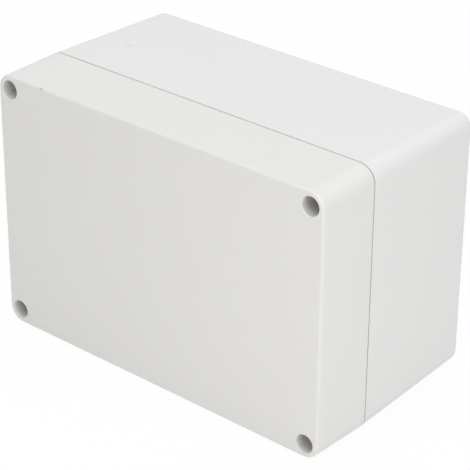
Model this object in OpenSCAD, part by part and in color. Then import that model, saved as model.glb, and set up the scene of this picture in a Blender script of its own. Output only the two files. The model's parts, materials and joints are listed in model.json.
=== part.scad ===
// Plastic junction box: a deep base and a lid with a sealed, screwed joint, standing on its long side.
// The mouldings are drawn lying on their backs, with the lid up, and then stood up.

/* [Box] */
// Length of the box at the parting line
box_length = 160; // [130:1:220]
// Height of the box at the parting line, as it stands on its long side
box_height = 110; // [90:1:160]
// Depth of the base, from the back face to the parting line
base_depth = 62; // [45:1:90]
// Depth of the lid, from the parting line to the front face
lid_depth = 28; // [22:1:40]
// Radius of the four corners at the parting line
corner_radius = 7; // [5.5:0.1:9]
// Radius of the edge round the front face of the lid
front_edge_radius = 1.2; // [0.8:0.1:2.2]
// Radius of the edge round the back face of the base
back_edge_radius = 2; // [1:0.1:3]
// Draft of the walls of the base, in degrees
base_draft = 1.6; // [0.5:0.1:2]
// Draft of the walls of the lid, in degrees
lid_draft = 1.2; // [0.3:0.1:1.5]

/* [Walls] */
// Thickness of the side walls
wall = 3.6; // [3.2:0.1:4.6]
// Thickness of the back of the base
back_thickness = 3; // [2:0.1:5]
// Thickness of the front plate of the lid
front_thickness = 3; // [2:0.1:5]
// Radius along the foot of the inner walls
inner_edge_radius = 1; // [0.5:0.1:1.5]
// Radius of the inner edge of the corner posts at the rim
post_radius = 5; // [4:0.1:7]
// Open line between the two rims
rim_gap = 0.4; // [0.2:0.1:0.8]
// Radius of the outer edge of the two rims
rim_edge_radius = 0.3; // [0.1:0.05:0.6]

/* [Seal] */
// Width of the groove in the rim of the lid
groove_width = 1.6; // [1.4:0.1:2]
// Height of the tongue above the rim of the base
tongue_height = 2.2; // [1.5:0.1:3]
// Room between the tongue and each side of the groove
tongue_clearance = 0.2; // [0.1:0.05:0.3]
// Height of the sealing strip when pressed
gasket_height = 1.6; // [1:0.1:2.5]
// Room between the sealing strip and each side of the groove
gasket_clearance = 0.1; // [0.05:0.05:0.2]
// Room between the pressed strip and the tip of the tongue
seal_clearance = 0.05; // [0:0.05:0.2]
// Room between the corner lands of the base and the lid that bears on them
land_clearance = 0.02; // [0:0.01:0.1]

/* [Lid screws] */
// Distance of the screws from the outer faces at the parting line
screw_inset = 6.5; // [6.2:0.1:8]
// Diameter of the screw wells in the lid
well_diameter = 7.6; // [7.2:0.1:8.4]
// Chamfer round the mouth of the screw wells
well_chamfer = 0.15; // [0.1:0.05:0.5]
// Thickness of the lid under the screw heads
screw_seat = 5.5; // [3:0.1:8]
// Thread diameter of the screws
screw_diameter = 4; // [3:0.1:4]
// Length of the screws under the head
screw_length = 16; // [12:1:18]
// Diameter of the screw heads
head_diameter = 7; // [6:0.1:7]
// Height of the screw heads
head_height = 2.6; // [2.2:0.1:4]
// Radius of the upper edge of the screw heads
head_edge_radius = 0.5; // [0.2:0.1:0.8]
// Width across the cross recess
recess_diameter = 4.2; // [3:0.1:5]
// Depth of the cross recess
recess_depth = 1.9; // [1:0.1:2]
// Width of one slot of the cross recess
recess_slot = 1; // [0.6:0.1:1.3]
// Room round the screws in the lid
screw_clearance = 0.25; // [0.1:0.05:0.4]

/* [Inserts] */
// Outer diameter of the threaded inserts
insert_diameter = 5.6; // [5:0.1:6]
// Length of the threaded inserts
insert_length = 8; // [6:0.5:10]
// Depth of the groove round the middle of the inserts
insert_groove = 0.4; // [0.2:0.1:0.5]
// Room between the screws and the bores of the inserts
thread_clearance = 0.05; // [0.02:0.01:0.1]
// Room round the inserts in the posts
insert_clearance = 0.02; // [0.01:0.01:0.05]
// Depth of the screw hole below the inserts
pilot_depth = 6; // [3:0.5:12]

/* [Wall fixing] */
// Distance of the fixing holes from the end faces at the parting line
fixing_inset_length = 16; // [15.5:0.1:20]
// Distance of the fixing holes from the long faces at the parting line
fixing_inset_height = 7; // [6.8:0.1:9]
// Diameter of the fixing holes in the back
fixing_diameter = 4.3; // [3:0.1:5]
// Diameter of the channels that take the heads of the fixing screws
channel_diameter = 7.5; // [7:0.1:8]
// Thickness of the back under the heads of the fixing screws
fixing_seat = 4; // [2:0.1:8]

/* [Floor bosses] */
// Distance of the floor bosses from the end faces at the parting line
boss_inset_length = 18; // [14:0.5:30]
// Distance of the floor bosses from the long faces at the parting line
boss_inset_height = 25; // [24:0.5:35]
// Diameter of the floor bosses
boss_diameter = 7; // [5:0.1:9]
// Height of the floor bosses
boss_height = 6; // [3:0.5:12]
// Diameter of the screw holes in the floor bosses
boss_hole = 2.8; // [2:0.1:3.5]
// Taper of the floor bosses, in degrees
boss_draft = 1; // [0:0.1:2]

/* [Hidden] */
$fn = 64;

// Heights above the back face, with the box on its back
base_rim = base_depth - rim_gap / 2;
lid_rim = base_depth + rim_gap / 2;
lid_front = base_depth + lid_depth;
tongue_tip = base_rim + tongue_height;
gasket_foot = tongue_tip + seal_clearance;
groove_top = gasket_foot + gasket_height;
head_seat = lid_rim + screw_seat;
lid_ceiling = lid_front - front_thickness;

// The seal runs in a wall of even thickness, round the outside and inside the corner posts
seal_inset = (wall - groove_width) / 2;
inner_radius = corner_radius - wall;
post_length = fixing_inset_length + channel_diameter / 2 + wall;
well_reach = screw_inset + well_diameter / 2;
channel_reach = fixing_inset_height + channel_diameter / 2;
post_height = max(well_reach, channel_reach) + wall;

// Places of the corner features, from the middle of the box
screw_x = box_length / 2 - screw_inset;
screw_y = box_height / 2 - screw_inset;
fixing_x = box_length / 2 - fixing_inset_length;
fixing_y = box_height / 2 - fixing_inset_height;
boss_x = box_length / 2 - boss_inset_length;
boss_y = box_height / 2 - boss_inset_height;

// Signs of the four corners, one quarter turn apart
corners = [[1, 1], [-1, 1], [-1, -1], [1, -1]];

// How far cuts run past the faces that they open
cut = 1;

moulded_grey = [0.86, 0.86, 0.85];
seal_grey = [0.30, 0.31, 0.32];
zinc = [0.72, 0.73, 0.75];
brass = [0.78, 0.62, 0.32];

// Stands the box on its long side, lid to the front, middle of its foot at the origin
module stand() {
    translate([0, lid_front / 2, box_height / 2])
        rotate([90, 0, 0])
            children();
}

// One copy in each corner of a rectangle of the given half sides
module each_corner(x, y) {
    for (corner = corners)
        translate([corner.x * x, corner.y * y, 0])
            children();
}

// How far a wall leans in over its depth, to the nearest hundredth
function lean(depth, draft) = round(100 * depth * tan(draft)) / 100;

// Quarter of a disc, from the x axis to the y axis
module quarter_disc(radius) {
    intersection() {
        circle(radius);
        square(2 * radius);
    }
}

// Half section of a drafted block, from its middle plane to its wall. The rim is at y = 0, and the
// wall leans in by the inset as it rises to the depth. An end with no edge radius runs on straight.
module half_section(reach, depth, inset, edge, rim_edge, overrun) {
    inner = reach - inset;
    rim_points = rim_edge > 0
        ? [[0, 0], [reach - rim_edge, 0], [reach - rim_edge, rim_edge], [reach, rim_edge]]
        : [[0, -overrun], [reach, -overrun], [reach, 0]];
    top_points = edge > 0
        ? [[inner, depth - edge], [inner - edge, depth - edge], [inner - edge, depth], [0, depth]]
        : [[inner, depth], [inner, depth + overrun], [0, depth + overrun]];
    polygon(concat(rim_points, top_points));
    if (edge > 0)
        translate([inner - edge, depth - edge])
            quarter_disc(edge);
    if (rim_edge > 0)
        translate([reach - rim_edge, rim_edge])
            rotate(-90)
                quarter_disc(rim_edge);
}

// Block with drafted walls and rounded corners: its section is run along the four walls and
// turned round the four corners. The rim lies at z = 0 and the block rises to its depth.
module drafted_block(length, height, radius, depth, inset, edge = 0, rim_edge = 0, overrun = 0) {
    straight_length = length - 2 * radius;
    straight_height = height - 2 * radius;
    for (turn = [0, 180])
        rotate(turn) {
            rotate([90, 0, 90])
                linear_extrude(straight_length, center = true)
                    half_section(height / 2, depth, inset, edge, rim_edge, overrun);
            translate([straight_length / 2, 0, 0])
                rotate([90, 0, 0])
                    linear_extrude(straight_height, center = true)
                        half_section(radius, depth, inset, edge, rim_edge, overrun);
        }
    for (quarter = [0 : 3])
        translate([corners[quarter].x * straight_length / 2, corners[quarter].y * straight_height / 2, 0])
            rotate(90 * quarter)
                rotate_extrude(angle = 90)
                    half_section(radius, depth, inset, edge, rim_edge, overrun);
}

// Rectangle with round corners
module rounded_rectangle(length, height, radius) {
    straight_length = length - 2 * radius;
    straight_height = height - 2 * radius;
    square([straight_length, height], center = true);
    square([length, straight_height], center = true);
    for (quarter = [0 : 3])
        translate([corners[quarter].x * straight_length / 2, corners[quarter].y * straight_height / 2])
            rotate(90 * quarter)
                quarter_disc(radius);
}

// Hollow of one moulding: the inside of its walls without the corner posts. The rim is at z = 0.
// The posts are blocks that reach past the outside, thicker with depth as the draft asks.
module hollow(depth, draft) {
    inset = lean(depth, draft);
    difference() {
        drafted_block(
            box_length - 2 * wall, box_height - 2 * wall, inner_radius,
            depth, inset, inner_edge_radius, 0, cut
        );
        each_corner(box_length / 2, box_height / 2)
            drafted_block(
                2 * post_length, 2 * post_height, post_radius, depth, -inset, 0, 0, 2 * cut
            );
    }
}

// Outline of the hollow at the rim, moved outwards into the wall
module seal_outline(outwards) {
    difference() {
        rounded_rectangle(
            box_length - 2 * wall + 2 * outwards,
            box_height - 2 * wall + 2 * outwards,
            inner_radius + outwards
        );
        each_corner(box_length / 2, box_height / 2)
            rounded_rectangle(
                2 * (post_length - outwards), 2 * (post_height - outwards), post_radius - outwards
            );
    }
}

// Closed band along the seal, with some room on each side
module seal_band(room) {
    difference() {
        seal_outline(seal_inset + groove_width - room);
        seal_outline(seal_inset + room);
    }
}

// Lands in the corners, outside the seal, where the lid bears on the posts of the base
module corner_lands() {
    outer_lip = wall - seal_inset - groove_width;
    reach = seal_inset + groove_width;
    intersection() {
        rounded_rectangle(
            box_length - 2 * outer_lip, box_height - 2 * outer_lip, corner_radius - outer_lip
        );
        each_corner(box_length / 2, box_height / 2)
            rounded_rectangle(
                2 * (post_length - reach), 2 * (post_height - reach), post_radius - reach
            );
    }
}

// Round hole in two widths that share an axis, from its foot past the face that it opens
module stepped_hole(foot, step, mouth, narrow, wide) {
    rotate_extrude()
        polygon([
            [0, foot], [narrow / 2, foot], [narrow / 2, step],
            [wide / 2, step], [wide / 2, mouth + cut], [0, mouth + cut]
        ]);
}

// Hole for a lid screw, with the well for its head and a chamfer at the mouth
module screw_well() {
    shank = screw_diameter / 2 + screw_clearance;
    well = well_diameter / 2;
    rotate_extrude()
        polygon([
            [0, lid_rim - cut], [shank, lid_rim - cut], [shank, head_seat], [well, head_seat],
            [well, lid_front - well_chamfer], [well + well_chamfer, lid_front],
            [well + well_chamfer, lid_front + cut], [0, lid_front + cut]
        ]);
}

// Boss on the floor of the base, a little wider towards its foot, which is rooted in the floor
module floor_boss() {
    tip = boss_diameter / 2;
    rooted = boss_height + cut;
    translate([0, 0, back_thickness - cut])
        cylinder(h = rooted, r1 = tip + lean(rooted, boss_draft), r2 = tip);
}

module base_shell() {
    translate([0, 0, base_rim])
        rotate([180, 0, 0])
            difference() {
                drafted_block(
                    box_length, box_height, corner_radius, base_rim, lean(base_rim, base_draft),
                    back_edge_radius, rim_edge_radius
                );
                hollow(base_rim - back_thickness, base_draft);
            }
}

module base() {
    insert_foot = base_rim - insert_length;
    pilot_diameter = screw_diameter + 2 * screw_clearance;
    seat_diameter = insert_diameter + 2 * insert_clearance;
    color(moulded_grey)
        stand()
            difference() {
                union() {
                    base_shell();
                    translate([0, 0, base_rim - cut])
                        linear_extrude(tongue_height + cut)
                            seal_band(tongue_clearance);
                    translate([0, 0, base_rim - cut])
                        linear_extrude(rim_gap - land_clearance + cut)
                            corner_lands();
                    each_corner(boss_x, boss_y)
                        floor_boss();
                }
                each_corner(screw_x, screw_y)
                    stepped_hole(
                        insert_foot - pilot_depth, insert_foot, base_rim, pilot_diameter, seat_diameter
                    );
                each_corner(fixing_x, fixing_y)
                    stepped_hole(-cut, fixing_seat, base_rim, fixing_diameter, channel_diameter);
                each_corner(boss_x, boss_y)
                    translate([0, 0, back_thickness])
                        cylinder(h = boss_height + cut, d = boss_hole);
            }
}

module lid() {
    color(moulded_grey)
        stand()
            difference() {
                translate([0, 0, lid_rim])
                    difference() {
                        drafted_block(
                            box_length, box_height, corner_radius, lid_front - lid_rim,
                            lean(lid_front - lid_rim, lid_draft), front_edge_radius, rim_edge_radius
                        );
                        hollow(lid_ceiling - lid_rim, lid_draft);
                    }
                translate([0, 0, lid_rim - cut])
                    linear_extrude(groove_top - lid_rim + cut)
                        seal_band(0);
                each_corner(screw_x, screw_y)
                    screw_well();
                each_corner(fixing_x, fixing_y)
                    translate([0, 0, lid_rim - cut])
                        cylinder(h = lid_ceiling - lid_rim + cut, d = channel_diameter);
            }
}

module gasket() {
    color(seal_grey)
        stand()
            translate([0, 0, gasket_foot])
                linear_extrude(gasket_height)
                    seal_band(gasket_clearance);
}

// Brass sleeve with a groove round its middle, its upper face level with the rim of the base
module threaded_insert() {
    band = insert_length / 5;
    outer = insert_diameter / 2;
    bore = screw_diameter / 2 + thread_clearance;
    neck = outer - insert_groove;
    rotate_extrude()
        polygon([
            [bore, 0], [outer, 0], [outer, 2 * band], [neck, 2 * band],
            [neck, 3 * band], [outer, 3 * band], [outer, insert_length], [bore, insert_length]
        ]);
}

module threaded_inserts() {
    color(brass)
        stand()
            each_corner(screw_x, screw_y)
                translate([0, 0, base_rim - insert_length])
                    threaded_insert();
}

// Cross recess: two slots inside a cone that narrows to the bottom
module cross_recess() {
    intersection() {
        translate([0, 0, -recess_depth])
            cylinder(h = recess_depth + cut, d1 = recess_slot, d2 = recess_diameter);
        union() {
            cube([recess_slot, recess_diameter, 2 * recess_depth + cut], center = true);
            cube([recess_diameter, recess_slot, 2 * recess_depth + cut], center = true);
        }
    }
}

// Lid screw with its head on the seat at z = 0 and its shank below
module lid_screw() {
    radius = screw_diameter / 2;
    head = head_diameter / 2;
    point = radius / 3;
    shoulder = head - head_edge_radius;
    edge_height = head_height - head_edge_radius;
    difference() {
        rotate_extrude() {
            polygon([
                [0, -screw_length], [radius - point, -screw_length], [radius, point - screw_length],
                [radius, 0], [head, 0], [head, edge_height], [shoulder, edge_height],
                [shoulder, head_height], [0, head_height]
            ]);
            translate([shoulder, edge_height])
                quarter_disc(head_edge_radius);
        }
        translate([0, 0, head_height])
            cross_recess();
    }
}

module screw_at(side, end) {
    color(zinc)
        stand()
            translate([side * screw_x, end * screw_y, head_seat])
                lid_screw();
}

module screw_top_left() {
    screw_at(-1, 1);
}

module screw_top_right() {
    screw_at(1, 1);
}

module screw_bottom_left() {
    screw_at(-1, -1);
}

module screw_bottom_right() {
    screw_at(1, -1);
}

base();
lid();
gasket();
threaded_inserts();
screw_top_left();
screw_top_right();
screw_bottom_left();
screw_bottom_right();
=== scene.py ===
# %% [markdown]
# # A moulded junction box
#
# The object is a light grey plastic box that stands on its long side: a deep base, a lid with a sunk
# screw in each corner, a rubber sealing strip between them and brass inserts that take the screws.
# The construction is already solved in CAD. This lesson loads it as a fixed frame and gives it its
# looks: finer pieces where the solids are plain, a finish for each material, a floor, light and a
# camera.

# %% Load the frame
import json
import math

import bpy
import numpy as np
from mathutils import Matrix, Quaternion, Vector


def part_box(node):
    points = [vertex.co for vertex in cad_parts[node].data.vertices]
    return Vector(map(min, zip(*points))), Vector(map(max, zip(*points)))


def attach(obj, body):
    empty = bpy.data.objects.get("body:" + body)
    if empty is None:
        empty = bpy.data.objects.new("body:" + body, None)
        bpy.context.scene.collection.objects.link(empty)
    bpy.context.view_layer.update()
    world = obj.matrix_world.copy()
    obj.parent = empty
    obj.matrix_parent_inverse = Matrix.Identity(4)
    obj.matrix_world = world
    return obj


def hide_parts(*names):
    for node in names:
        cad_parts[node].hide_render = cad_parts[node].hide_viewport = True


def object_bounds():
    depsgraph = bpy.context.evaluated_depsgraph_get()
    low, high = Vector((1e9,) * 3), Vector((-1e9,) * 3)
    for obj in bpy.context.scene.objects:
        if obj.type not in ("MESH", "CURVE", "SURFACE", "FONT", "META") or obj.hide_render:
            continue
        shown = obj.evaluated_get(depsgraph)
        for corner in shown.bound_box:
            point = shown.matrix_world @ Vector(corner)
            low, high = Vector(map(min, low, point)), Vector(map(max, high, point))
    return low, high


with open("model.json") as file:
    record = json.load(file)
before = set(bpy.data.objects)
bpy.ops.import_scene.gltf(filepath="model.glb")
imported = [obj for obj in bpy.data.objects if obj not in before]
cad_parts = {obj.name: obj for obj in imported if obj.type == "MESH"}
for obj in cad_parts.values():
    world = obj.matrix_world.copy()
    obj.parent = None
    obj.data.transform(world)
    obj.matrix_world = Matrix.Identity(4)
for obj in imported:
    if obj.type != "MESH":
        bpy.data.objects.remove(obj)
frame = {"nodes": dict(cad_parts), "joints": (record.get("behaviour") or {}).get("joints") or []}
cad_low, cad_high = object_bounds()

print("nodes:", sorted(frame["nodes"]))
print("box of the solids:", tuple(cad_low), tuple(cad_high))

# %% [markdown]
# ## Places taken from the frame
#
# Every object is in metres and in the frame of the solids: X runs along the box, Z is up, and the lid
# faces -Y. New pieces could be placed by eye, but then each change of the solids would leave them
# behind. They take their places from the boxes of the nodes that they stand for instead, and the screw
# axes from the joints. Sizes that a box can't tell, such as a thread's pitch, are named in millimetres
# where they are first needed.

# %% Measure the frame
MM = 0.001


def corners_of(node):
    """Lowest and highest corner of a node's box as numpy arrays."""
    low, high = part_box(node)
    return np.array(low), np.array(high)


box_middle = (np.array(cad_low) + np.array(cad_high)) / 2
box_half = (np.array(cad_high) - np.array(cad_low)) / 2
screw_seats = {
    joint["child"]: np.array(joint["pos_m"])
    for joint in frame["joints"]
    if joint["type"] == "hinge"
}
print("middle of the box:", box_middle.round(4), "half size:", box_half.round(4))
print("screw seats:", {name: seat.round(4).tolist() for name, seat in screw_seats.items()})

# %% [markdown]
# ## Surfaces as grids of points
#
# The finer pieces could be built up from primitives and modifiers. Here each is a surface over a grid
# instead: one direction of the grid runs along the piece and the other round it. The points are worked
# out as one numpy array, and the faces only depend on the size of the grid, so one function can join the
# points of every piece. A grid that closes on itself both ways is a ring, such as the seal. A grid that
# ends at a point each way gets a fan of triangles there.

# %% Faces of a grid
def ring_faces(rows, columns, rows_close):
    """Quads between neighbours of a grid whose columns close on themselves.

    Point (row, column) has the number row * columns + column. Each quad goes from its point along the
    columns first and along the rows next. With rows_close the last row is joined to the first.
    """
    row, column = np.meshgrid(
        np.arange(rows if rows_close else rows - 1), np.arange(columns), indexing="ij"
    )
    next_row = (row + 1) % rows
    next_column = (column + 1) % columns
    corners = [
        row * columns + column,
        row * columns + next_column,
        next_row * columns + next_column,
        next_row * columns + column,
    ]
    return np.stack(corners, axis=-1).reshape(-1, 4)


def fan_faces(ring, pole):
    """Triangles from each neighbouring pair of a ring of point numbers to one pole."""
    return np.stack([ring, np.roll(ring, -1), np.full_like(ring, pole)], axis=-1)


def enclosed_volume(points, face_groups):
    """Sum over all triangles of a . (b x c) / 6, which is positive if the faces point outwards."""
    total = 0.0
    for faces in face_groups:
        first = points[faces[:, 0]]
        for second in range(1, faces.shape[1] - 1):
            crossed = np.cross(points[faces[:, second]], points[faces[:, second + 1]])
            total += np.einsum("ij,ij->", first, crossed) / 6
    return total


print("first quad of a ring of 4 by 6 points:", ring_faces(4, 6, rows_close=True)[0])

# %% Put a surface into a mesh
SHARP_ANGLE = math.radians(35)


def add_piece(name, points, face_groups):
    """A mesh object at the origin from points and groups of faces with the same number of corners."""
    corners = np.concatenate([faces.ravel() for faces in face_groups])
    sizes = np.concatenate([np.full(len(faces), faces.shape[1]) for faces in face_groups])
    starts = np.cumsum(sizes) - sizes
    mesh = bpy.data.meshes.new(name)
    mesh.vertices.add(len(points))
    mesh.vertices.foreach_set("co", points.astype(np.float32).ravel())
    mesh.loops.add(len(corners))
    mesh.loops.foreach_set("vertex_index", corners.astype(np.int32))
    mesh.polygons.add(len(sizes))
    mesh.polygons.foreach_set("loop_start", starts.astype(np.int32))
    mesh.update(calc_edges=True)
    mesh.validate()
    mesh.polygons.foreach_set("use_smooth", np.ones(len(sizes), bool))
    mesh.set_sharp_from_angle(angle=SHARP_ANGLE)
    piece = bpy.data.objects.new(name, mesh)
    bpy.context.scene.collection.objects.link(piece)
    volume = enclosed_volume(points, face_groups)
    print(f"{name}: {len(points)} points, {len(sizes)} faces, {volume / MM**3:.1f} mm3")
    return piece


# %% [markdown]
# ## The sealing strip
#
# The seal is a rubber strip that lies in the groove of the lid. It follows the wall, and in each corner
# it steps round the inside of the post, so that the screw holes stay outside the sealed space. A curve
# with a bevel would do, but a swept section keeps full control of the bends: a square corner of the path
# becomes an arc about a centre, and the section rides along it on the path's own normal.

# %% Path of the strip
WALL = 3.6 * MM
STRIP_OFFSET = 1.8 * MM
STRIP_WIDTH = 1.4 * MM
STRIP_INNER_BEND = 0.25 * MM
POST_SIZE = np.array([23.35, 14.35]) * MM
POST_RADIUS = 5.0 * MM
BEND_STEPS = 12


def seal_path(half_box):
    """Points and outward normals of the strip's middle line in X and Z, from the middle of the box.

    The line lies in the wall, outside its inner face. Each quarter has three square corners: where the
    wall meets the post, round the post, and where the post meets the next wall. A corner c with radius
    r, entered along a and left along b, becomes c + r (b - a + a sin t - b cos t) for t from 0 to 90
    degrees, with the tangent a cos t + b sin t.
    """
    wall_x, wall_z = half_box - WALL + STRIP_OFFSET
    post_x, post_z = half_box - POST_SIZE + STRIP_OFFSET
    wall_bend = STRIP_INNER_BEND + STRIP_WIDTH / 2
    post_bend = POST_RADIUS - STRIP_OFFSET
    quarter = np.array([[wall_x, post_z], [post_x, post_z], [post_x, wall_z]])
    corners = np.concatenate(
        [quarter, quarter[::-1] * [-1, 1], quarter * [-1, -1], quarter[::-1] * [1, -1]]
    )
    radii = np.tile([wall_bend, post_bend, wall_bend], 4)[:, None, None]
    ahead = np.roll(corners, -1, axis=0) - corners
    leave = (ahead / np.linalg.norm(ahead, axis=1, keepdims=True))[:, None, :]
    enter = np.roll(leave, 1, axis=0)
    turn = np.linspace(0, math.pi / 2, BEND_STEPS)[None, :, None]
    bends = radii * (leave - enter + enter * np.sin(turn) - leave * np.cos(turn))
    points = (corners[:, None, :] + bends).reshape(-1, 2)
    tangents = (enter * np.cos(turn) + leave * np.sin(turn)).reshape(-1, 2)
    normals = np.stack([tangents[:, 1], -tangents[:, 0]], axis=-1)
    return points, normals


lid_low, lid_high = corners_of("lid")
path, path_normals = seal_path((lid_high - lid_low)[[0, 2]] / 2)
print("path of the strip:", len(path), "points, half size", np.abs(path).max(axis=0).round(5))

# %% Sweep the strip
SECTION_STEPS = 32
SECTION_SQUARENESS = 0.45


def sealing_strip():
    """Section (w/2 cos^k, h/2 sin^k) along the path, with signs kept and k under 1 for a square look."""
    low, high = corners_of("gasket")
    angle = np.linspace(0, 2 * math.pi, SECTION_STEPS, endpoint=False)
    across = STRIP_WIDTH / 2 * np.sign(np.cos(angle)) * np.abs(np.cos(angle)) ** SECTION_SQUARENESS
    along = (high - low)[1] / 2 * np.sign(np.sin(angle)) * np.abs(np.sin(angle)) ** SECTION_SQUARENESS
    flat = path[:, None, :] + path_normals[:, None, :] * across[None, :, None]
    depth = np.broadcast_to(along, flat.shape[:2])
    middle = (low + high) / 2
    points = np.stack([flat[..., 0], depth, flat[..., 1]], axis=-1) + middle
    faces = ring_faces(len(path), SECTION_STEPS, rows_close=True)
    return add_piece("sealing_strip", points.reshape(-1, 3), [faces])


strip = sealing_strip()
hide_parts("gasket")
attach(strip, "lid")

# %% [markdown]
# ## The threaded inserts
#
# A brass sleeve is set into each post of the base. Its outside is knurled so that the plastic grips it,
# with a plain groove round the middle, and its bore is threaded. A boolean cut for every knurl would be
# slow and untidy. The sleeve is a ring instead, a closed outline turned about the screw's axis, and the
# knurl and the thread are waves that are taken off the radius or added to it.

# %% Waves that cut a knurl and a thread
THREAD_ROOT = 0.3
THREAD_CREST = 0.8


def triangle_wave(turns):
    """Rises from 0 to 1 and falls back to 0 over each whole turn."""
    return 1 - np.abs(2 * (turns % 1) - 1)


def thread_wave(turns):
    """Trapezoid of one thread: flat root, flank, flat crest and flank over each whole turn."""
    return np.clip((triangle_wave(turns) - THREAD_ROOT) / (THREAD_CREST - THREAD_ROOT), 0, 1)


print("one thread in eighths of a turn:", thread_wave(np.arange(9) / 8).round(2))

# %% One turned sleeve
THREAD_PITCH = 0.7 * MM
INSERT_BORE = 2.05 * MM
INSERT_THREAD_DEPTH = 0.22 * MM
KNURL_DEPTH = 0.16 * MM
KNURL_COUNT = 22
KNURL_LEAD = 1.1 * MM
INSERT_GROOVE = 0.4 * MM
INSERT_GROOVE_SHARE = 0.2
INSERT_CHAMFER = 0.15 * MM
COLUMNS_PER_KNURL = 6
SLEEVE_COLUMNS = KNURL_COUNT * COLUMNS_PER_KNURL
OUTSIDE_ROWS = 60
BORE_ROWS = 90


def sleeve_outline(length, outer):
    """Outline of the sleeve, from the foot up the outside and down the bore.

    Gives the radius and the height of each row, and which rows are knurled.
    """
    up = np.linspace(0, length, OUTSIDE_ROWS)
    down = np.linspace(length, 0, BORE_ROWS)
    from_end = np.minimum(up, length - up)
    chamfer = np.clip(INSERT_CHAMFER - from_end, 0, None)
    in_groove = np.abs(up - length / 2) < INSERT_GROOVE_SHARE * length / 2
    outside = outer - chamfer - np.where(in_groove, INSERT_GROOVE, 0)
    radius = np.concatenate([outside, np.full(BORE_ROWS, INSERT_BORE)])
    knurled = np.concatenate([~in_groove & (from_end > INSERT_CHAMFER), np.zeros(BORE_ROWS, bool)])
    return radius, np.concatenate([up, down]), knurled


def sleeve_grid(length, outer):
    """Sleeve along +h as a grid of radius, height and angle.

    Diamond knurl: the deeper of two triangle waves that wind round the axis both ways. Thread: a
    trapezoid wave of h / pitch - angle / 360 degrees, cut outwards from the bore and fading at its ends.
    """
    radius, height, knurled = sleeve_outline(length, outer)
    angle = np.linspace(0, 2 * math.pi, SLEEVE_COLUMNS, endpoint=False)[None, :]
    turns = angle / (2 * math.pi)
    h = height[:, None]
    left_hand = triangle_wave(KNURL_COUNT * turns + h / KNURL_LEAD)
    right_hand = triangle_wave(KNURL_COUNT * turns - h / KNURL_LEAD)
    knurl = np.where(knurled[:, None], KNURL_DEPTH * (1 - np.minimum(left_hand, right_hand)), 0)
    in_bore = (np.arange(len(radius)) >= OUTSIDE_ROWS)[:, None]
    fade = np.clip(np.minimum(h, length - h) / (THREAD_PITCH / 2), 0, 1)
    cut = INSERT_THREAD_DEPTH * fade * thread_wave(h / THREAD_PITCH - turns)
    thread = np.where(in_bore, cut, 0)
    return radius[:, None] - knurl + thread, np.broadcast_to(h, knurl.shape), angle


print("grid of a sleeve:", OUTSIDE_ROWS + BORE_ROWS, "rows of", SLEEVE_COLUMNS, "points")

# %% Four sleeves in one piece
def about_screw_axis(seat, radius, height, angle):
    """Points at a radius, height and angle about a screw's axis; the height runs forward, along -Y."""
    x = seat[0] + radius * np.cos(angle)
    y = seat[1] - height
    z = seat[2] + radius * np.sin(angle)
    return np.stack(np.broadcast_arrays(x, y, z), axis=-1)


def brass_inserts():
    """The same sleeve in each post, its face level with the rim of the base."""
    low, high = corners_of("threaded_inserts")
    length = high[1] - low[1]
    outer = high[0] - screw_seats["screw_top_right"][0]
    radius, height, angle = sleeve_grid(length, outer)
    feet = [np.array([seat[0], high[1], seat[2]]) for seat in screw_seats.values()]
    points = np.stack([about_screw_axis(foot, radius, height, angle) for foot in feet])
    one = ring_faces(*radius.shape, rows_close=True)
    offsets = np.arange(len(feet))[:, None, None] * radius.size
    faces = (one[None] + offsets).reshape(-1, 4)
    return add_piece("brass_inserts", points.reshape(-1, 3), [faces])


inserts = brass_inserts()
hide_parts("threaded_inserts")
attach(inserts, "base")

# %% [markdown]
# ## The lid screws
#
# A plated machine screw sits at the bottom of each well. Modelled as one skin it needs no boolean
# either: rings of points start at the tip, climb the shank, step out under the head, round its edge and
# go down into the cross recess. On the shank the radius follows the thread's wave. In the recess it
# follows the outline of a cross, which is star-shaped, so each angle has just one radius.

# %% Outline of the cross
SLOT_WIDTH = 1.0 * MM
RECESS_RADIUS = 2.1 * MM
SMALLEST_SINE = 1e-6


def cross_radius(angle, reach):
    """Radius of the outline of a cross at each angle.

    The lesser of the reach of its arms and half a slot's width over the sine of the angle to the
    nearest arm.
    """
    to_arm = np.abs((angle + math.pi / 4) % (math.pi / 2) - math.pi / 4)
    return np.minimum(reach, SLOT_WIDTH / 2 / np.maximum(np.sin(to_arm), SMALLEST_SINE))


along_and_between = cross_radius(np.array([0, math.pi / 4]), RECESS_RADIUS)
print("radius of the cross along an arm and between arms:", along_and_between.round(5))

# %% One screw as rings
SCREW_COLUMNS = 96
SCREW_LENGTH = 16.0 * MM
SCREW_RADIUS = 2.0 * MM
SCREW_THREAD_DEPTH = 0.38 * MM
SCREW_POINT = 0.67 * MM
HEAD_RADIUS = 3.5 * MM
HEAD_HEIGHT = 2.6 * MM
HEAD_EDGE = 0.5 * MM
RECESS_DEPTH = 1.9 * MM
RECESS_POINT = 0.25 * MM
ROWS_PER_THREAD = 10
EDGE_ROWS = 8
RECESS_ROWS = 10


def shank_rings(angle):
    """Thread from the tip to the head, where h is 0.

    A trapezoid wave of h / pitch - angle / 360 degrees on the root, faded at both ends. The tip is cut
    to a cone.
    """
    rows = int(round(SCREW_LENGTH / THREAD_PITCH * ROWS_PER_THREAD))
    h = np.linspace(-SCREW_LENGTH, 0, rows)[:, None]
    fade = np.clip(np.minimum(h + SCREW_LENGTH, -h) / THREAD_PITCH, 0, 1)
    wave = thread_wave(h / THREAD_PITCH - angle / (2 * math.pi))
    cone = SCREW_RADIUS - np.clip(SCREW_POINT - (h + SCREW_LENGTH), 0, None)
    root = SCREW_RADIUS - SCREW_THREAD_DEPTH
    return np.minimum(cone, root + SCREW_THREAD_DEPTH * wave * fade), np.broadcast_to(h, wave.shape)


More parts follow.
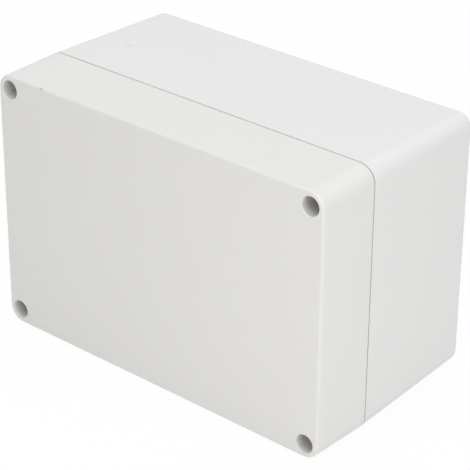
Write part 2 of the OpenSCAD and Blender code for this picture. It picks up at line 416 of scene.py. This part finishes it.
def head_rings(angle):
    """Side of the head, a quarter circle round its edge, and the flat top in to the recess."""
    quarter = np.linspace(0, math.pi / 2, EDGE_ROWS)[:, None]
    shoulder = HEAD_RADIUS - HEAD_EDGE
    edge_radius = shoulder + HEAD_EDGE * np.cos(quarter)
    edge_height = HEAD_HEIGHT - HEAD_EDGE * (1 - np.sin(quarter))
    radius = np.concatenate([[[HEAD_RADIUS]], edge_radius])
    height = np.concatenate([[[0.0]], edge_height])
    wide = np.ones_like(angle)
    return radius * wide, height * wide


def recess_rings(angle):
    """Cross at each depth, its arms drawn in along a cone until only the round core is left."""
    depth = np.linspace(0, RECESS_DEPTH, RECESS_ROWS)[:, None]
    reach = RECESS_RADIUS + (SLOT_WIDTH / 2 - RECESS_RADIUS) * depth / RECESS_DEPTH
    return cross_radius(angle, reach), (HEAD_HEIGHT - depth) * np.ones_like(angle)


print("turns of thread on a screw:", round(SCREW_LENGTH / THREAD_PITCH, 1))

# %% Four screws
def lid_screw(node):
    """Skin of a screw from a pole at its tip to a pole at the bottom of its recess."""
    angle = np.linspace(0, 2 * math.pi, SCREW_COLUMNS, endpoint=False)[None, :]
    rings = [shank_rings(angle), head_rings(angle), recess_rings(angle)]
    radius = np.concatenate([ring[0] for ring in rings])
    height = np.concatenate([ring[1] for ring in rings])
    seat = screw_seats[node]
    skin = about_screw_axis(seat, radius, height, angle).reshape(-1, 3)
    tip = about_screw_axis(seat, np.zeros(1), np.array([-SCREW_LENGTH]), np.zeros(1))
    recess_floor = HEAD_HEIGHT - RECESS_DEPTH - RECESS_POINT
    bottom = about_screw_axis(seat, np.zeros(1), np.array([recess_floor]), np.zeros(1))
    first_ring = np.arange(SCREW_COLUMNS)
    last_ring = len(skin) - SCREW_COLUMNS + first_ring
    fans = [fan_faces(first_ring[::-1], len(skin)), fan_faces(last_ring, len(skin) + 1)]
    quads = ring_faces(*radius.shape, rows_close=False)
    points = np.concatenate([skin, tip, bottom])
    return add_piece(f"lid_{node}", points, [quads, np.concatenate(fans)])


screws = {}
for screw_node in screw_seats:
    screws[screw_node] = lid_screw(screw_node)
    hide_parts(screw_node)
    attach(screws[screw_node], screw_node)

# %% [markdown]
# ## Shader maths in plain expressions
#
# A finish is a small graph of nodes. Written out node by node it is long and hard to read, so one class
# wraps an output socket: arithmetic on it adds Math nodes, and one method adds any other node. The
# expression 1 - mask then means what it says. Colours and vectors go through Mix and Vector Math
# nodes, because a Math node only knows numbers.

# %% A socket that can be calculated with
class Wire:
    """An output socket in a node tree. Arithmetic with wires and numbers adds Math nodes."""

    def __init__(self, tree, socket=None):
        self.tree = tree
        self.socket = socket

    def add(self, kind, settings=None, inputs=None, output=0):
        """A node of this kind with its settings, then its sockets, and one of its outputs as a wire."""
        node = self.tree.nodes.new(kind)
        for name, value in (settings or {}).items():
            setattr(node, name, value)
        for key, value in (inputs or {}).items():
            if isinstance(value, Wire):
                self.tree.links.new(value.socket, node.inputs[key])
            else:
                node.inputs[key].default_value = value
        return Wire(self.tree, node.outputs[output])

    def math(self, operation, first, second=0.0):
        """A Math node on one or two values, each a wire or a number."""
        return self.add("ShaderNodeMath", {"operation": operation}, {0: first, 1: second})

    def __add__(self, other):
        return self.math("ADD", self, other)

    def __sub__(self, other):
        return self.math("SUBTRACT", self, other)

    def __rsub__(self, other):
        return self.math("SUBTRACT", other, self)

    def __mul__(self, other):
        return self.math("MULTIPLY", self, other)

    def __abs__(self):
        return self.math("ABSOLUTE", self)

    __radd__ = __add__
    __rmul__ = __mul__


# %% Patterns that the finishes share
# Sockets of a Mix node for colours, by number
MIX_FACTOR, MIX_A, MIX_B, MIX_COLOUR_OUT = 0, 6, 7, 2


def object_position(tree):
    """Place on the piece in metres, which moves with the piece."""
    return Wire(tree).add("ShaderNodeTexCoord", output="Object")


def noise(position, size, detail=2.0, roughness=0.5):
    """Cloudy pattern from 0 to 1 with patches of about this size."""
    settings = {"noise_dimensions": "3D"}
    inputs = {"Vector": position, "Scale": 1 / size, "Detail": detail, "Roughness": roughness}
    return position.add("ShaderNodeTexNoise", settings, inputs)


def vector_math(operation, *vectors):
    """Result of a Vector Math node: a number for a length or a distance, otherwise a vector."""
    settings = {"operation": operation}
    output = "Value" if operation in ("LENGTH", "DISTANCE") else "Vector"
    return vectors[0].add("ShaderNodeVectorMath", settings, dict(enumerate(vectors)), output)


def slope(value, start, end):
    """Number that is 0 up to the start and 1 from the end on, with a smooth rise between."""
    inputs = {"Value": value, "From Min": start, "From Max": end}
    return value.add("ShaderNodeMapRange", {"interpolation_type": "SMOOTHSTEP"}, inputs)


def spot(position, place, radius):
    """Soft round mask: 1 at the place, falling to 0 at the radius."""
    return 1 - slope(vector_math("DISTANCE", position, place), 0.0, radius)


def mix_colour(factor, first, second):
    """Colour between two colours: the first where the factor is 0 and the second where it is 1."""
    inputs = {MIX_FACTOR: factor, MIX_A: first, MIX_B: second}
    return factor.add("ShaderNodeMix", {"data_type": "RGBA"}, inputs, MIX_COLOUR_OUT)


def bump(height, strength, distance):
    """Normal of a surface that rises and falls with a height, up to this distance in metres."""
    inputs = {"Strength": strength, "Distance": distance, "Height": height}
    return height.add("ShaderNodeBump", None, inputs)


# %% A material and its main shader
def new_material(name, sockets):
    """Material with one Principled shader, whose constants are set on its sockets."""
    material = bpy.data.materials.new(name)
    material.use_nodes = True
    shader = material.node_tree.nodes["Principled BSDF"]
    for socket, value in sockets.items():
        shader.inputs[socket].default_value = value
    return material, shader


def feed(shader, links):
    """Links wires to the sockets of the shader that change over the surface."""
    for socket, wire in links.items():
        wire.tree.links.new(wire.socket, shader.inputs[socket])


# %% [markdown]
# ## Moulded plastic
#
# The box is moulded in light grey, slightly warm plastic. The mould has a fine spark-eroded grain, so
# the surface is dull and its gloss breaks up a little. It has been handled: there is a nick in the upper
# edge of the lid, and there are a few faint smudges and rubs. Shade is painted into the colour as well:
# a dark, warm painted shade deep in the screw wells and a paler one on the lips of the parting line.
#
# A picture could hold the painted shade, but a mask that is worked out from the place on the piece needs
# no picture: the depth behind the lid's face and the distance to a screw's axis tell how far down a well
# a point lies, and the distance to the parting plane tells how near it is to the lips. The grain is bump
# from a noise, the tint drifts by a few parts in a hundred, and each blemish is a soft spot at its own
# place.

# %% Where the painted shade goes
# Painted shade deep in the screw wells: a darker, warmer colour mixed in with the depth.
WELL_SHADE_COLOUR = (0.41, 0.365, 0.275, 1.0)
WELL_SHADE_STRENGTH = 0.29
WELL_REACH = 4.2 * MM
WELL_SHADE_START = 1.0 * MM
WELL_SHADE_FULL = 4.5 * MM
SEAT_FADE = 0.5 * MM
# Painted shade on the lips of the parting line: a darker, warmer colour along the seam.
SEAM_SHADE_COLOUR = (0.48, 0.45, 0.31, 1.0)
SEAM_SHADE_STRENGTH = 0.43
SEAM = -17.0 * MM
SEAM_FULL_SHADE = 0.2 * MM
SEAM_REACH = 0.45 * MM
LIP = 1.0 * MM
MASK_FADE = 0.2 * MM
CORNER_RADIUS = 7.0 * MM
FAR = 1.0


def from_middle(position):
    """Distance from the middle of the box along each axis, so that the four corners are one."""
    return vector_math("ABSOLUTE", vector_math("SUBTRACT", position, tuple(box_middle)))


def painted_well_shade(position, y):
    """Painted shade in the screw wells: it grows with the depth behind the lid's face and ends at the
    seat.
    """
    seat = screw_seats["screw_top_right"]
    beside = vector_math("SUBTRACT", from_middle(position), tuple(np.abs(seat - box_middle)))
    from_axis = vector_math("LENGTH", vector_math("MULTIPLY", beside, (1.0, 0.0, 1.0)))
    front = cad_low[1]
    deep = slope(y, front + WELL_SHADE_START, front + WELL_SHADE_FULL)
    above_seat = 1 - slope(y, seat[1], seat[1] + SEAT_FADE)
    in_well = 1 - slope(from_axis, WELL_REACH - MASK_FADE, WELL_REACH)
    return deep * above_seat * in_well


def painted_seam_shade(position, y):
    """Painted shade on the outer lips of the parting line: |y - seam| is small, and so is the depth in
    the wall.

    With h the half size of the box and r the radius of its corners, a place on the outside of the wall
    has the length r of max(|p| - (h - r), 0), on the straights and round the corners alike. Y doesn't
    count: its corner axis is too far away.
    """
    corner_axis = (box_half[0] - CORNER_RADIUS, FAR, box_half[2] - CORNER_RADIUS)
    beyond = vector_math("SUBTRACT", from_middle(position), corner_axis)
    from_corner_axis = vector_math("LENGTH", vector_math("MAXIMUM", beyond, (0.0, 0.0, 0.0)))
    lip_starts = CORNER_RADIUS - LIP
    on_lip = slope(from_corner_axis, lip_starts - MASK_FADE, lip_starts)
    return on_lip * (1 - slope(abs(y - SEAM), SEAM_FULL_SHADE, SEAM_REACH))


well_depth = screw_seats["screw_top_right"][1] - cad_low[1]
# The wells' colour is darkened with painted shade, in full from this depth on.
print(f"a screw well is {well_depth / MM:.1f} mm deep and shaded from {WELL_SHADE_FULL / MM:.1f} mm on")

# %% The grey plastic
LID_GREY = np.array([0.732, 0.726, 0.712])
BASE_GREY = np.array([0.749, 0.745, 0.739])
TONE_DRIFT = 0.03
MARK_COLOUR = (0.16, 0.15, 0.13, 1.0)
CLOUD_SIZE = 28 * MM
GRAIN_SIZE = 0.35 * MM
GRAIN_HEIGHT = 0.004 * MM
GRAIN_STRENGTH = 0.35
PLASTIC_IOR = 1.46
PLASTIC_ROUGHNESS = 0.46
GRAIN_ROUGHNESS = 0.08
CLOUD_ROUGHNESS = 0.06


def moulded_plastic(name, grey, marks):
    """Grained grey plastic with marks, each a place and radius in mm and a depth of tone."""
    material, shader = new_material(name, {"IOR": PLASTIC_IOR})
    position = object_position(material.node_tree)
    clouds = noise(position, CLOUD_SIZE, detail=3.0)
    grain = noise(position, GRAIN_SIZE, detail=3.0, roughness=0.6)
    tone = 0.5 * (clouds + grain)
    colour = mix_colour(tone, (*(grey * (1 - TONE_DRIFT)), 1.0), (*grey, 1.0))
    for place, radius, depth in marks:
        mask = depth * spot(position, tuple(np.array(place) * MM), radius * MM)
        colour = mix_colour(mask, colour, MARK_COLOUR)
    y = position.add("ShaderNodeSeparateXYZ", None, {0: position}, "Y")
    # Painted shade: the colour turns darker and warmer deep in the screw wells.
    colour = mix_colour(WELL_SHADE_STRENGTH * painted_well_shade(position, y), colour, WELL_SHADE_COLOUR)
    # Painted shade: the colour turns darker and warmer on the lips of the parting line.
    colour = mix_colour(SEAM_SHADE_STRENGTH * painted_seam_shade(position, y), colour, SEAM_SHADE_COLOUR)
    links = {
        "Base Color": colour,
        "Roughness": PLASTIC_ROUGHNESS + GRAIN_ROUGHNESS * grain + CLOUD_ROUGHNESS * clouds,
        "Normal": bump(grain, GRAIN_STRENGTH, GRAIN_HEIGHT),
    }
    feed(shader, links)
    print(name, "has", len(marks), "marks and", len(material.node_tree.nodes), "nodes")
    return material


# %% [markdown]
# ## Marks of use
#
# A painted picture could hold the marks, but a short list is easier to read and to change. Each mark has
# its place in millimetres in the frame of the box, its radius and its depth of tone. Those on the lid
# move with the lid, because its finish reads the place on the piece and not the place in the room.

# %% Where the marks are
LID_MARKS = [
    ((-56.2, -45.0, 109.2), 1.15, 0.6),
    ((30.1, -45.0, 87.8), 1.3, 0.05),
    ((61.8, -45.0, 80.9), 1.2, 0.04),
    ((49.8, -45.0, 75.7), 1.2, 0.035),
    ((49.8, -45.0, 72.9), 1.2, 0.035),
    ((40.6, -45.0, 61.1), 1.2, 0.03),
    ((77.1, -45.0, 98.7), 1.4, 0.06),
    ((76.1, -45.0, 39.0), 0.9, 0.07),
    ((77.6, -44.9, 38.3), 0.9, 0.07),
    ((75.7, -39.0, 109.6), 0.9, 0.11),
    ((80.0, -19.3, 72.5), 1.0, 0.06),
]
BASE_MARKS = [
    ((-59.8, 7.2, 109.3), 2.3, 0.13),
]

lid_plastic = moulded_plastic("lid_plastic", LID_GREY, LID_MARKS)
base_plastic = moulded_plastic("base_plastic", BASE_GREY, BASE_MARKS)

# %% [markdown]
# ## Rubber, brass and plated steel
#
# The inner pieces only show with the lid off. A flat colour each would pass from afar, but not beside
# the grained plastic. The rubber is nearly black and dull, with a powdery bloom. The brass is bright
# where it was turned and a little tarnished in patches. The zinc on the screws is a thin, faintly blue
# layer whose gloss varies from spot to spot. Metals take their look from roughness, so that is where
# most of the variation goes.

# %% The sealing rubber
RUBBER_DARK = (0.030, 0.031, 0.033, 1.0)
RUBBER_BLOOM = (0.075, 0.076, 0.078, 1.0)
RUBBER_IOR = 1.5
RUBBER_ROUGHNESS = 0.6
BLOOM_ROUGHNESS = 0.25
BLOOM_SIZE = 6 * MM
RUBBER_GRAIN_SIZE = 0.12 * MM
RUBBER_GRAIN_HEIGHT = 0.01 * MM
RUBBER_GRAIN_STRENGTH = 0.3


def dull_rubber(name):
    """Dull dark rubber with a light bloom in patches and a fine moulded grain."""
    material, shader = new_material(name, {"IOR": RUBBER_IOR})
    position = object_position(material.node_tree)
    bloom = noise(position, BLOOM_SIZE, detail=4.0, roughness=0.65)
    grain = noise(position, RUBBER_GRAIN_SIZE)
    links = {
        "Base Color": mix_colour(bloom * bloom, RUBBER_DARK, RUBBER_BLOOM),
        "Roughness": RUBBER_ROUGHNESS + BLOOM_ROUGHNESS * bloom,
        "Normal": bump(grain, RUBBER_GRAIN_STRENGTH, RUBBER_GRAIN_HEIGHT),
    }
    feed(shader, links)
    print(name, "has", len(material.node_tree.nodes), "nodes")
    return material


rubber = dull_rubber("seal_rubber")

# %% The two metals
BRASS_BRIGHT = (0.80, 0.60, 0.28, 1.0)
BRASS_TARNISHED = (0.55, 0.38, 0.17, 1.0)
ZINC_BRIGHT = (0.74, 0.75, 0.77, 1.0)
ZINC_DULL = (0.56, 0.57, 0.60, 1.0)
DULL_ROUGHNESS = 0.25
SCRATCH_SIZE = 0.08 * MM
SCRATCH_HEIGHT = 0.004 * MM
SCRATCH_STRENGTH = 0.25


def worn_metal(name, bright, dull, patch_size, smoothest):
    """Metal that goes from bright to dull in patches, with fine scratches from handling as bump."""
    material, shader = new_material(name, {"Metallic": 1.0})
    position = object_position(material.node_tree)
    patches = noise(position, patch_size, detail=4.0, roughness=0.6)
    scratches = noise(position, SCRATCH_SIZE)
    links = {
        "Base Color": mix_colour(patches, bright, dull),
        "Roughness": smoothest + DULL_ROUGHNESS * patches,
        "Normal": bump(scratches, SCRATCH_STRENGTH, SCRATCH_HEIGHT),
    }
    feed(shader, links)
    print(name, "has", len(material.node_tree.nodes), "nodes")
    return material


brass = worn_metal("insert_brass", BRASS_BRIGHT, BRASS_TARNISHED, patch_size=1.5 * MM, smoothest=0.22)
zinc = worn_metal("screw_zinc", ZINC_BRIGHT, ZINC_DULL, patch_size=0.8 * MM, smoothest=0.18)

# %% [markdown]
# ## Dressing the pieces
#
# The lid and the base keep their solids, which already have the right form, and only change their
# material. Single faces could have materials of their own, but each piece is of one stuff here, so it
# gets one slot.

# %% Give each piece its finish
def dress(piece, material):
    """Makes this the only material of a piece."""
    piece.data.materials.clear()
    piece.data.materials.append(material)


dress(frame["nodes"]["lid"], lid_plastic)
dress(frame["nodes"]["base"], base_plastic)
dress(strip, rubber)
dress(inserts, brass)
for screw in screws.values():
    dress(screw, zinc)

# %% [markdown]
# ## Floor and background
#
# The box stands on a pale floor in front of white. The floor is a plain matt sheet for the light that
# falls on the box, but the camera should see nearly white with just a trace of the shadow. More light
# on the floor would do that too, but it would burn out the box as well. Light Path tells the shader what
# kind of ray is looking instead: for rays from the camera, and for those that come by way of a
# reflection, most of the sheet is swapped for plain white.

# %% Rays that look at the background
def looking_rays(tree):
    """1 for rays that come from the camera or by way of gloss or glass, 0 for light on the box."""
    camera = Wire(tree).add("ShaderNodeLightPath", output="Is Camera Ray")
    kinds = camera.socket.node.outputs
    gloss = Wire(tree, kinds["Is Glossy Ray"])
    glass = Wire(tree, kinds["Is Transmission Ray"])
    return camera.math("MAXIMUM", camera.math("MAXIMUM", camera, gloss), glass)


# %% The floor
FLOOR_HALF = 3.0
FLOOR_GREY = (0.9, 0.9, 0.9, 1.0)
FLOOR_WHITE_SHARE = 0.95


def pale_floor():
    """Flat square under the box, matt for the light and nearly white for the camera."""
    square = np.array([[-1, -1, 0], [1, -1, 0], [1, 1, 0], [-1, 1, 0]]) * FLOOR_HALF
    floor = add_piece("floor", square, [np.array([[0, 1, 2, 3]])])
    material = bpy.data.materials.new("floor")
    material.use_nodes = True
    tree = material.node_tree
    tree.nodes.clear()
    matt = Wire(tree).add("ShaderNodeBsdfDiffuse", None, {"Color": FLOOR_GREY})
    white = Wire(tree).add("ShaderNodeEmission", None, {"Strength": 1.0})
    seen = looking_rays(tree) * FLOOR_WHITE_SHARE
    mixed = Wire(tree).add("ShaderNodeMixShader", None, {0: seen, 1: matt, 2: white})
    output = tree.nodes.new("ShaderNodeOutputMaterial")
    tree.links.new(mixed.socket, output.inputs["Surface"])
    dress(floor, material)


pale_floor()

# %% The world
WORLD_LIGHT = (0.488, 0.479, 0.463, 1.0)
WHITE = (1.0, 1.0, 1.0, 1.0)


def studio_world():
    """Even light from all round for the box, and plain white for the camera and for gloss."""
    world = bpy.data.worlds.new("studio")
    bpy.context.scene.world = world
    world.use_nodes = True
    tree = world.node_tree
    colour = mix_colour(looking_rays(tree), WORLD_LIGHT, WHITE)
    tree.links.new(colour.socket, tree.nodes["Background"].inputs["Color"])
    print("world:", len(tree.nodes), "nodes, light", WORLD_LIGHT[:3])


studio_world()

# %% [markdown]
# ## Soft boxes
#
# A small product is shown best between soft lamps, whose shadows have no hard edge. A sun lamp would be
# quicker to set up, but it leaves one side bright and the others dark. Here the overhead lamp makes the
# top the brightest face, and the ones behind and high in front even it out and reach down the front. The
# key, high on the right, and the end fill, low on the right, light the end and let the front darken
# towards the left. A small warm lamp, low in front, looks into the screw wells.
#
# Each lamp is placed by the direction that it shines from, seen from the middle of the box. Its power is
# given as the irradiance that it would give there, so that a lamp can be moved away without changing the
# brightness.

# %% The lamps
COOL = (0.948, 0.971, 1.0)
WARM = (1.0, 0.957, 0.873)
SOFT_BOXES = {
    "overhead": {"towards": (0, 88), "distance": 1.1, "size": 1.0, "light": 1.355, "colour": COOL},
    "behind": {"towards": (170, 55), "distance": 1.2, "size": 1.0, "light": 0.286, "colour": COOL},
    "high_front": {"towards": (0, 60), "distance": 1.0, "size": 0.8, "light": 0.479, "colour": COOL},
    "key": {"towards": (50, 35), "distance": 1.0, "size": 0.5, "light": 0.380, "colour": COOL},
    "end_fill": {"towards": (75, 6), "distance": 0.8, "size": 0.2, "light": 0.492, "colour": COOL},
    "low_right": {"towards": (25, 5), "distance": 0.35, "size": 0.12, "light": 0.246, "colour": WARM},
}


def direction(azimuth, elevation):
    """Unit vector towards a place seen at this azimuth and elevation in degrees; azimuth 0 is -Y."""
    around, up = math.radians(azimuth), math.radians(elevation)
    level = math.cos(up)
    return np.array([math.sin(around) * level, -math.cos(around) * level, math.sin(up)])


def soft_box(name, towards, distance, size, light, colour):
    """Square area lamp that faces the middle of the box and isn't seen itself.

    A small lamp of power P gives an irradiance of P / (pi d^2) straight ahead at the distance d.
    """
    lamp = bpy.data.lights.new(name, "AREA")
    lamp.shape = "SQUARE"
    lamp.size = size
    lamp.energy = light * math.pi * distance**2
    lamp.color = colour
    holder = bpy.data.objects.new(name, lamp)
    holder.visible_camera = False
    outward = direction(*towards)
    holder.location = box_middle + outward * distance
    holder.rotation_euler = Vector(outward).to_track_quat("Z", "Y").to_euler()
    bpy.context.scene.collection.objects.link(holder)
    print(f"soft box {name}: {lamp.energy:.2f} W")


for lamp_name, lamp_settings in SOFT_BOXES.items():
    soft_box(lamp_name, **lamp_settings)

# %% [markdown]
# ## The camera
#
# The picture was taken from the right and from above with a long lens, which keeps the far edges nearly
# parallel to the near ones. A camera could be moved by hand until the edges agree, but a few numbers can
# be set again at any time. The focal length in pixels turns into millimetres through the sensor's width,
# the small roll turns the camera about its own axis, and the shift puts the box where it stands in the
# frame. The Standard view transform then shows each colour as it is written.

# %% Set up the camera
PICTURE_SIZE = 470
FOCAL_PIXELS = 1983.5
BOX_MIDDLE_PIXEL = (231.56, 219.83)
CAMERA_AZIMUTH, CAMERA_ELEVATION, CAMERA_ROLL = 40.425, 27.829, 0.335
CAMERA_DISTANCE = 0.7690
SENSOR_WIDTH = 36.0
CLIP_NEAR, CLIP_FAR = 0.05, 50.0


def photo_camera():
    """Camera on the line from the middle of the box, with the middle of the box at its pixel."""
    data = bpy.data.cameras.new("camera")
    data.sensor_width = SENSOR_WIDTH
    data.lens = FOCAL_PIXELS / PICTURE_SIZE * SENSOR_WIDTH
    data.shift_x = (PICTURE_SIZE / 2 - BOX_MIDDLE_PIXEL[0]) / PICTURE_SIZE
    data.shift_y = (BOX_MIDDLE_PIXEL[1] - PICTURE_SIZE / 2) / PICTURE_SIZE
    data.clip_start, data.clip_end = CLIP_NEAR, CLIP_FAR
    camera = bpy.data.objects.new("camera", data)
    back = direction(CAMERA_AZIMUTH, CAMERA_ELEVATION)
    camera.location = box_middle + back * CAMERA_DISTANCE
    level = Vector(back).to_track_quat("Z", "Y")
    roll = Quaternion((0, 0, 1), math.radians(CAMERA_ROLL))
    camera.rotation_euler = (level @ roll).to_euler()
    bpy.context.scene.collection.objects.link(camera)
    bpy.context.scene.camera = camera
    print(f"lens {data.lens:.1f} mm, shift {data.shift_x:.4f}, {data.shift_y:.4f}")


photo_camera()
bpy.context.scene.view_settings.view_transform = "Standard"
